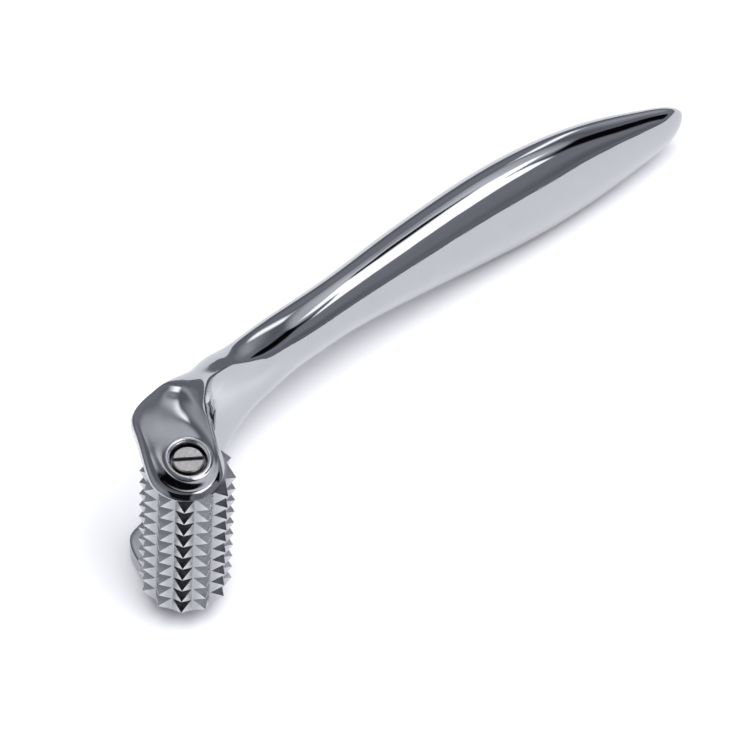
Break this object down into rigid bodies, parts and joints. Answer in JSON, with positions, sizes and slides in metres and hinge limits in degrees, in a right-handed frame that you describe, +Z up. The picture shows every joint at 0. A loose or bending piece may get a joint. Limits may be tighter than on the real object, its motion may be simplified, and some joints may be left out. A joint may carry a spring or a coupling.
{
  "type": "derma roller",
  "caption": "Hand-held facial roller: a curved paddle-shaped chrome handle forks into two ears that hold a drum covered in blunt pyramid spikes on a screwed axle.",
  "frame": {"origin": "centre of the base of the whole tool's bounding box, on the surface it lies on", "axes": "+Z up, +X along the tool from the roller end to the tip of the handle, +Y towards the handle's rounded back; the tool lies on its side, resting on one ear and the paddle, so the roller's axis is nearly upright"},
  "size_m": [0.1738, 0.0362, 0.0501],
  "materials": {
    "cast_chrome": "polished",
    "roller_chrome": "satin",
    "screw_nickel": "satin",
    "axle_steel": "ground",
    "washer_steel": "satin",
    "bush_bronze": "sintered"
  },
  "bodies": {
    "handle": {"handle_fork": "cast_chrome", "axle": "axle_steel", "upper_washer": "washer_steel", "lower_washer": "washer_steel", "upper_lock_washer": "washer_steel", "lower_lock_washer": "washer_steel", "upper_screw": "screw_nickel", "lower_screw": "screw_nickel"},
    "roller": {"spiked_roller": "roller_chrome", "upper_bush": "bush_bronze", "lower_bush": "bush_bronze"}
  },
  "joints": [
    {"name": "roller_spin", "type": "hinge", "parent": "handle", "child": "roller", "pos_m": [-0.0754, -0.00754, 0.02582], "axis": [0.0938, 0.0412, 0.9947], "continuous": true}
  ]
}
